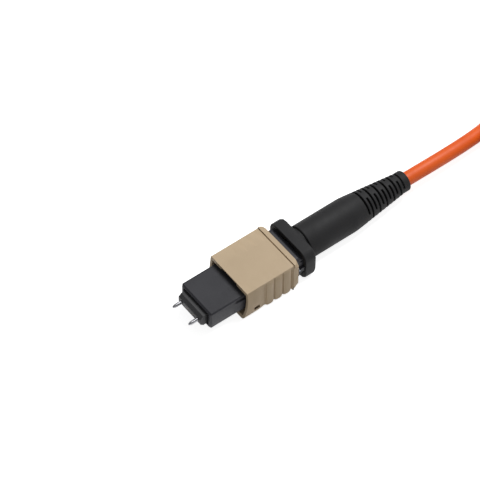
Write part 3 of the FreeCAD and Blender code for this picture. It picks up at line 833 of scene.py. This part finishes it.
def crease_edges(form, side):
    """Lengthwise edges between the sleeve's sides and its roof (1) or floor (-1).

    Under the ribs the edges zigzag, so that steeper ones are taken too.
    """
    def on_crease(middle, along):
        ribbed = side < 0 and middle.x < SLEEVE_REAR - REAR_CORNER
        return runs_along_x(along, RIB_SLOPE if ribbed else LONG_SLOPE) and middle.z * side > BORE_TOP

    return edges_where(form, on_crease)


def sleeve_stations():
    """Places along the sleeve at which its outside changes."""
    stations = [MOUTH_REAR + 0.3, HOLE_FRONT, HOLE_REAR]
    for number in range(RIB_COUNT + 1):
        points = RIB_OUTLINE[:LIP_RISE_POINTS] if number == RIB_COUNT else RIB_OUTLINE
        stations += [GRIP_START + (number + share) * RIB_PITCH for share, _ in points]
    for groove_end in (-LIP_GROOVE_WIDTH, 0.0):
        stations += [TOP_LIP_START + groove_end - LIP_GROOVE_WALL, TOP_LIP_START + groove_end]
    stations += [SLEEVE_REAR - REAR_CORNER * (1 - math.sin(math.radians(angle))) for angle in REAR_ANGLES]
    return stations


def sleeve_outside():
    """Outer wall: ribs, lip and rounded rear corners moved out of a plain box."""
    form = slab((SLEEVE_FRONT, -SLEEVE_SIDE, SLEEVE_FLOOR), (SLEEVE_REAR, SLEEVE_SIDE, LIP_TOP))
    cut_across(form, 0, sleeve_stations())
    cut_across(form, 2, SIDE_ROWS)
    for vert in form.verts:
        x, y, z = vert.co
        pull = rear_rounding(x, REAR_CORNER if abs(z) > BORE_TOP else REAR_ROUNDING)
        vert.co.y = math.copysign(sleeve_side_at(x, z) + side_swell_at(x, z) - pull, y)
        if z > BORE_TOP:
            vert.co.z = sleeve_top_at(x)
    round_edges(form, crease_edges(form, 1), ROOF_EDGE, 2)
    round_edges(form, crease_edges(form, -1), FLOOR_EDGE, 4)
    open_ends(form, (SLEEVE_FRONT, SLEEVE_REAR))
    cut_across(form, 1, KEYWAY_CUTS)
    shape_rim(form)
    return form


def sleeve_inside():
    """Bore with the grooves that the coupling springs run in."""
    form = slab((SLEEVE_FRONT, -BORE_SIDE, -BORE_TOP), (SLEEVE_REAR, BORE_SIDE, BORE_TOP))
    cut_across(form, 0, [MOUTH_FLARE_REAR, HOLE_FRONT, HOLE_REAR, SPRING_GROOVE_START])
    cut_across(form, 2, INNER_ROWS)
    for vert in form.verts:
        if vert.co.x < MOUTH_REAR:
            vert.co.y = math.copysign(MOUTH_SIDE + side_swell_at(vert.co.x, vert.co.z), vert.co.y)
            if vert.co.z > BORE_TOP - NEARBY:
                vert.co.z = MOUTH_TOP
    round_long_edges(form, BORE_CORNER, 4, MOUTH_TOP - NEARBY)
    grooves = faces_where(form, lambda middle, normal: (
        abs(normal.y) > FACING and middle.x > SPRING_GROOVE_START and abs(middle.z) < SPRING_GROOVE_HALF))
    for vert in drawn_corners(form, grooves):
        vert.co.y = math.copysign(SPRING_GROOVE_SIDE, vert.co.y)
    open_ends(form, (SLEEVE_FRONT, SLEEVE_REAR))
    cut_across(form, 1, KEYWAY_CUTS)
    for vert in form.verts:
        in_keyway = abs(vert.co.y) < KEYWAY_HALF - KEYWAY_SLOPE / 2
        if in_keyway and vert.co.x < MOUTH_REAR and vert.co.z > ROOF_HEIGHT:
            vert.co.z = KEYWAY_TOP
    shape_rim(form)
    return form


def in_side_hole(middle):
    """Whether a place lies in one of the small holes through the sleeve's sides."""
    return HOLE_FRONT < middle.x < HOLE_REAR and HOLE_LOW < middle.z < HOLE_HIGH


def make_sleeve():
    """Push-pull sleeve."""
    form = sleeve_outside()
    put_inside(form, sleeve_inside())
    join_ends(form, (SLEEVE_FRONT, SLEEVE_REAR), MOUTH_LENGTH + 0.05)
    holes = faces_where(form, lambda middle, normal: in_side_hole(middle) and abs(normal.y) > FACING)
    bmesh.ops.delete(form, geom=holes, context="FACES")
    for side in (-1, 1):
        join_rims(form, lambda middle, along: middle.y * side > BORE_SIDE - NEARBY)
    fit_out("sleeve_shell", form, "sleeve_plastic", "sleeve_group", ["coupling_sleeve"], 0.09)


# ---------------------------------------------------------------- boot

boot_low, boot_high = node_box("strain_relief_boot")
BOOT_FRONT, BOOT_REAR = boot_low.x, BOOT_TIP_X
FLANGE_SIDE, FLANGE_TOP = boot_high.y, boot_high.z
FLANGE_LENGTH, FLANGE_CORNER, FLANGE_BEVEL = 2.4, 1.8, 0.5
FLANGE_REAR = BOOT_FRONT + FLANGE_LENGTH
NECK_RADIUS, BARREL_RADIUS, TIP_RADIUS = 3.0, 3.35, 2.0
NECK_OVERLAP = 0.4
BARREL_FRONT = FLANGE_REAR + 0.5
BARREL_EDGE = 0.12
CONE_FRONT = BARREL_FRONT + 10.5
TIP_FRONT = BOOT_REAR - 1.2
TIP_EDGE = 0.15
CAVITY_RADIUS, CAVITY_REAR, CAVITY_TAPER = 2.7, 30.75, 1.5
CABLE_BORE = 1.6
TURN_STEPS = 48

# Slots round the cone: the web between two slots is this share of the radius to each side
SLOT_FRONT = CONE_FRONT + 2.5
SLOT_WIDTH, SLOT_PITCH, SLOT_COUNT = 0.38, 0.87, 11
WEB_SHARE = 0.27
SLOT_FLOOR = CABLE_BORE + 0.06


def cone_radius(x):
    """Radius of the boot's cone at x."""
    share = (x - CONE_FRONT) / (TIP_FRONT - CONE_FRONT)
    return BARREL_RADIUS + (TIP_RADIUS - BARREL_RADIUS) * share


def boot_outline():
    """Outline of the turned part of the boot, from the neck round the tip to the cavity."""
    outline = [
        (FLANGE_REAR - NECK_OVERLAP, NECK_RADIUS),
        (BARREL_FRONT, NECK_RADIUS),
        (BARREL_FRONT, BARREL_RADIUS - BARREL_EDGE),
        (BARREL_FRONT + BARREL_EDGE, BARREL_RADIUS),
        (CONE_FRONT - 0.6, BARREL_RADIUS),
        (CONE_FRONT, BARREL_RADIUS - 0.02),
    ]
    for number in range(SLOT_COUNT):
        start = SLOT_FRONT + number * SLOT_PITCH
        outline += [(start, cone_radius(start)), (start + SLOT_WIDTH, cone_radius(start + SLOT_WIDTH))]
    outline += [
        (TIP_FRONT, TIP_RADIUS),
        (BOOT_REAR - TIP_EDGE, TIP_RADIUS),
        (BOOT_REAR, TIP_RADIUS - TIP_EDGE),
        (BOOT_REAR, CABLE_BORE),
        (CAVITY_REAR + CAVITY_TAPER, CABLE_BORE),
        (CAVITY_REAR, CAVITY_RADIUS),
        (FLANGE_REAR - NECK_OVERLAP, CAVITY_RADIUS),
    ]
    return outline


def in_slot(number, middle):
    """Whether a face with that middle lies in a slot of the boot, and not on a web or in the bore."""
    slot_x = SLOT_FRONT + number * SLOT_PITCH + SLOT_WIDTH / 2
    across = middle.y if number % 2 else middle.z
    radius = math.hypot(middle.y, middle.z)
    return abs(middle.x - slot_x) < 0.02 and radius > CABLE_BORE + NEARBY and abs(across) > WEB_SHARE * radius


def cut_slots(form):
    """Slots sunk into the cone, turned a quarter from each station to the next."""
    for number in range(SLOT_COUNT):
        faces = faces_where(form, lambda middle, _: in_slot(number, middle))
        for vert in drawn_corners(form, faces):
            reach = SLOT_FLOOR / math.hypot(vert.co.y, vert.co.z)
            vert.co.y *= reach
            vert.co.z *= reach


def flange_form():
    """Corner-cut flange with the cavity through it."""
    form = slab((BOOT_FRONT, -FLANGE_SIDE, -FLANGE_TOP), (FLANGE_REAR, FLANGE_SIDE, FLANGE_TOP))
    round_long_edges(form, FLANGE_CORNER, 3)
    rear = edges_where(form, lambda middle, along: abs(middle.x - FLANGE_REAR) < SAME_PLACE)
    round_edges(form, rear, FLANGE_BEVEL, 2)
    ends = (BOOT_FRONT, FLANGE_REAR)
    cavity = turned_form(
        [(BOOT_FRONT, CAVITY_RADIUS), (FLANGE_REAR, CAVITY_RADIUS), (FLANGE_REAR, 0)], TURN_STEPS)
    open_ends(form, ends)
    open_ends(cavity, ends)
    put_inside(form, cavity)
    join_ends(form, ends)
    return form


def make_boot():
    """Strain relief boot: flange, neck, barrel and slotted cone."""
    form = turned_form(boot_outline(), TURN_STEPS)
    cut_slots(form)
    add_form(form, flange_form())
    fit_out("boot_moulding", form, "boot_rubber", "root", ["strain_relief_boot"], 0.07)


# ---------------------------------------------------------------- pins, springs, fibre tips

# Outline of a pin: the bullet tip, the shank, and the groove by which the clamp holds it
PIN_RADIUS, PIN_SIDE = 0.35, 2.3
PIN_TIP, PIN_REAR = -1.9, 9.7
PIN_OUTLINE = (
    (PIN_TIP, 0), (PIN_TIP, 0.1), (PIN_TIP + 0.05, 0.17), (PIN_TIP + 0.2, 0.24),
    (PIN_TIP + 0.42, 0.31), (PIN_TIP + 0.7, PIN_RADIUS), (PIN_REAR - 0.8, PIN_RADIUS),
    (PIN_REAR - 0.8, 0.27), (PIN_REAR - 0.4, 0.27), (PIN_REAR - 0.4, PIN_RADIUS),
    (PIN_REAR, PIN_RADIUS), (PIN_REAR, 0),
)
PIN_STEPS = 32


def make_pins():
    """Steel guide pins with bullet tips."""
    for side, name in ((-1, "left"), (1, "right")):
        form = turned_form(PIN_OUTLINE, PIN_STEPS)
        bmesh.ops.translate(form, vec=(0, side * PIN_SIDE, 0), verts=form.verts)
        fit_out(f"pin_{name}_turned", form, "pin_steel", "ferrule_float_group", [f"guide_pin_{name}"])


SPRING_WIRE, SPRING_DIAMETER, SPRING_TURNS = 0.18, 0.9, 7
FERRULE_SPRING_WIRE, FERRULE_SPRING_TURNS = 0.4, 5
# The end turns of a spring lie this many wires apart
CLOSED_PITCH = 1.1
WIRE_STEPS = 10


def wound_wire(start, end, width, height, wire, turns, centre_y=0.0):
    """Compression spring of round wire along X with closed ends."""
    closed_pitch = CLOSED_PITCH * wire
    open_pitch = (end - start - wire - 2 * closed_pitch) / (turns - 2)
    points = []
    for step in range(turns * WIRE_STEPS + 1):
        turn = step / WIRE_STEPS
        closed = min(turn, 1) + max(turn - (turns - 1), 0)
        angle = 2 * math.pi * turn
        points.append(Vector((
            start + wire / 2 + closed * closed_pitch + (turn - closed) * open_pitch,
            centre_y + (width - wire) / 2 * math.cos(angle),
            (height - wire) / 2 * math.sin(angle),
        )))
    curve = round_curve("wire", points, wire, 2, 1)
    curve.resolution_u = 3
    mesh = mesh_of_curve(curve)
    form = bmesh.new()
    form.from_mesh(mesh)
    bmesh.ops.remove_doubles(form, verts=form.verts, dist=SAME_PLACE)
    bmesh.ops.recalc_face_normals(form, faces=form.faces)
    bpy.data.meshes.remove(mesh)
    return form


def squash_both(pieces):
    """The springs on both connectors each get a mesh of their own."""
    for piece, (prefix, place) in zip(pieces, ENDS):
        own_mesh(piece)


def make_springs():
    """Round-wire springs: one each side under the sleeve, and the oval one behind the ferrule."""
    for side, name in ((-1, "left"), (1, "right")):
        low, high = node_box(f"coupling_spring_{name}")
        form = wound_wire(
            low.x, high.x, SPRING_DIAMETER, SPRING_DIAMETER, SPRING_WIRE, SPRING_TURNS, (low.y + high.y) / 2,
        )
        pieces = fit_out(f"side_spring_{name}", form, "spring_steel", "root", [f"coupling_spring_{name}"])
        squash_both(pieces)
    low, high = node_box("ferrule_spring")
    form = wound_wire(
        low.x, high.x, high.y - low.y, high.z - low.z, FERRULE_SPRING_WIRE, FERRULE_SPRING_TURNS,
    )
    pieces = fit_out("oval_spring", form, "spring_steel", "root", ["ferrule_spring"])
    squash_both(pieces)


FIBRE_RADIUS, FIBRE_TIP_RADIUS, FIBRE_TIP_LENGTH = 0.0625, 0.055, 0.03


def make_fibre_tips():
    """Polished tips of the twelve fibres in the ferrule's face."""
    form = bmesh.new()
    half = (len(FIBRE_COLORS) - 1) / 2
    lying = Matrix.Rotation(math.pi / 2, 4, "Y")
    for number in range(len(FIBRE_COLORS)):
        bmesh.ops.create_cone(
            form, cap_ends=True, segments=12, radius1=FIBRE_TIP_RADIUS, radius2=FIBRE_RADIUS,
            depth=FIBRE_TIP_LENGTH, matrix=Matrix.Translation((0, (number - half) * FIBRE_PITCH, 0)) @ lying,
        )
    bmesh.ops.recalc_face_normals(form, faces=form.faces)
    fit_out("fibre_tips", form, "ribbon_coating", "ferrule_float_group")


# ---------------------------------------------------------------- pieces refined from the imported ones

# Name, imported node, body, and how far its edges are softened
REFINED = (
    ("housing_moulding", "inner_housing", "root", 0.07),
    ("push_moulding", "spring_push", "root", 0.06),
    ("ferrule_moulding", "mt_ferrule", "ferrule_float_group", 0.05),
    ("clamp_moulding", "pin_clamp", "ferrule_float_group", 0.05),
    ("crimp_sleeve", "crimp_ring", "root", 0.05),
)

NOSE_FRONT = node_box("inner_housing")[0].x
FLARE_LENGTH, FLARE_SIDE, FLARE_TOP = 1.0, 3.62, 1.7
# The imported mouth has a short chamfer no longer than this
PACKED_FLARE = 0.25


def flare_mouth(form):
    """The nose's mouth opened to a thin rim, with a longer slope down to the ferrule."""
    for vert in form.verts:
        inside = abs(vert.co.y) < FLARE_SIDE - 0.05 and abs(vert.co.z) < FLARE_TOP - 0.05
        if inside and vert.co.x < NOSE_FRONT + 0.01:
            vert.co.y = math.copysign(FLARE_SIDE, vert.co.y)
            vert.co.z = math.copysign(FLARE_TOP, vert.co.z)
        elif inside and vert.co.x < NOSE_FRONT + PACKED_FLARE:
            vert.co.x = NOSE_FRONT + FLARE_LENGTH


def make_refined_pieces():
    """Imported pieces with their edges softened."""
    slots = {part["node"]: part["material_slot"] for part in frame["record"]["subparts"]}
    for name, node, group, soften in REFINED:
        form = packed_form(node)
        if node == "inner_housing":
            flare_mouth(form)
        fit_out(name, form, slots[node], group, [node], soften)


STRAP_THICKNESS, STRAP_CORNER = 0.3, 1.3


def strap_wall(low, high, corner):
    """One wall of a strap: a box open at both ends, with rounded corners."""
    form = slab(low, high)
    round_long_edges(form, corner, 5)
    open_ends(form, (low.x, high.x))
    return form


def make_ties():
    """Straps round the hank, each a closed band with rounded corners."""
    inset = Vector((0, STRAP_THICKNESS, STRAP_THICKNESS))
    for name in ("hank_tie_left", "hank_tie_right"):
        low, high = node_box(name)
        form = strap_wall(low, high, STRAP_CORNER)
        put_inside(form, strap_wall(low + inset, high - inset, STRAP_CORNER - STRAP_THICKNESS))
        join_ends(form, (low.x, high.x))
        piece = piece_from(form, name + "_strap", Matrix.Identity(4), "tie_fabric", "root", 0.08)
        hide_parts(name)
        form.free()


# ---------------------------------------------------------------- the studio

CAMERA_TURN, CAMERA_TILT = math.radians(-37.2), math.radians(52.4)
CAMERA_DISTANCE, CAMERA_RIGHT, CAMERA_UP = 518.0, 8.74, 12.2
LENS, SENSOR_WIDTH = 225.0, 36
KEY_TARGET = Vector((25, 0, 0))
KEY_DIRECTION = Vector((0.5, 0.1, 1.0))
KEY_DISTANCE, KEY_SIZE, KEY_POWER = 400, 180, 1.45
SURROUNDINGS = 0.3
FLOOR_SIZE, FLOOR_GLOW = 3.0, 0.85
FLOOR_COLOR = (0.65, 0.65, 0.65, 1)
WHITE = (1, 1, 1, 1)


def add_camera():
    """Long-lens camera looking down on the nose, the top and the near side."""
    right = Vector((math.cos(CAMERA_TURN), math.sin(CAMERA_TURN), 0))
    forward = Vector((
        -math.sin(CAMERA_TURN) * math.cos(CAMERA_TILT),
        math.cos(CAMERA_TURN) * math.cos(CAMERA_TILT),
        -math.sin(CAMERA_TILT),
    ))
    up = right.cross(forward)
    data = bpy.data.cameras.new("camera")
    data.lens = LENS
    data.sensor_width = SENSOR_WIDTH
    data.clip_start = 0.01
    camera = add_object("camera", data)
    place = (-forward * CAMERA_DISTANCE + right * CAMERA_RIGHT + up * CAMERA_UP) * MM
    camera.matrix_world = Matrix.Translation(place) @ Matrix((right, up, -forward)).transposed().to_4x4()
    bpy.context.scene.camera = camera


def add_key_light():
    """Square soft light aimed at the connector's middle."""
    data = bpy.data.lights.new("key", "AREA")
    data.shape = "SQUARE"
    data.size = KEY_SIZE * MM
    data.energy = KEY_POWER
    light = add_object("key", data)
    direction = KEY_DIRECTION.normalized()
    light.location = (KEY_TARGET + direction * KEY_DISTANCE) * MM
    light.rotation_euler = direction.to_track_quat("Z", "Y").to_euler()


def seen_rays(tree):
    """Mask of the rays by which the camera, mirrors and glass see the floor."""
    rays = tree.nodes.new("ShaderNodeLightPath").outputs
    seen_or_mirrored = add_math(tree, "MAXIMUM", rays["Is Camera Ray"], rays["Is Glossy Ray"])
    return add_math(tree, "MAXIMUM", seen_or_mirrored, rays["Is Transmission Ray"])


def add_floor():
    """Pale floor that shows as white and still takes a faint shadow."""
    mesh = bpy.data.meshes.new("floor")
    form = bmesh.new()
    bmesh.ops.create_grid(form, x_segments=1, y_segments=1, size=FLOOR_SIZE)
    bmesh.ops.translate(form, verts=form.verts, vec=(0, 0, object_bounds()[0][2]))
    form.to_mesh(mesh)
    form.free()
    floor = add_object("floor", mesh)
    material, tree, shader = new_finish("floor_white", 0.9)
    shader.inputs["Base Color"].default_value = FLOOR_COLOR
    glow = add_node(tree, "ShaderNodeEmission", {"Color": WHITE, "Strength": FLOOR_GLOW})
    both = add_node(tree, "ShaderNodeAddShader", {}, {0: shader.outputs[0], 1: glow.outputs[0]})
    mix = add_node(tree, "ShaderNodeMixShader", {}, {
        0: seen_rays(tree), 1: shader.outputs[0], 2: both.outputs[0]})
    tree.links.new(mix.outputs[0], tree.nodes["Material Output"].inputs["Surface"])
    mesh.materials.append(material)


def add_world():
    """Even white surroundings."""
    world = bpy.data.worlds.new("world")
    bpy.context.scene.world = world
    world.use_nodes = True
    background = world.node_tree.nodes["Background"]
    fill_sockets(world.node_tree, background, {"Color": WHITE, "Strength": SURROUNDINGS}, {})


def declare_cord(cable):
    """The far connector's pieces and the ties gathered, and the cable's length worked out; none of it is used
    further.
    """
    pieces = [piece for piece in bpy.context.scene.objects if piece.type == "MESH"]
    on_cord = [piece for piece in pieces if piece.name.startswith("far_")]
    on_cord += [bpy.data.objects["hank_tie_left_strap"], bpy.data.objects["hank_tie_right_strap"]]
    length = cord_length(cable)


cable = make_cord()
dress_nodes()
make_sleeve()
make_boot()
make_pins()
make_springs()
make_fibre_tips()
make_refined_pieces()
make_ties()
declare_cord(cable)
add_camera()
add_world()
add_key_light()
add_floor()
bpy.context.scene.view_settings.view_transform = "Standard"
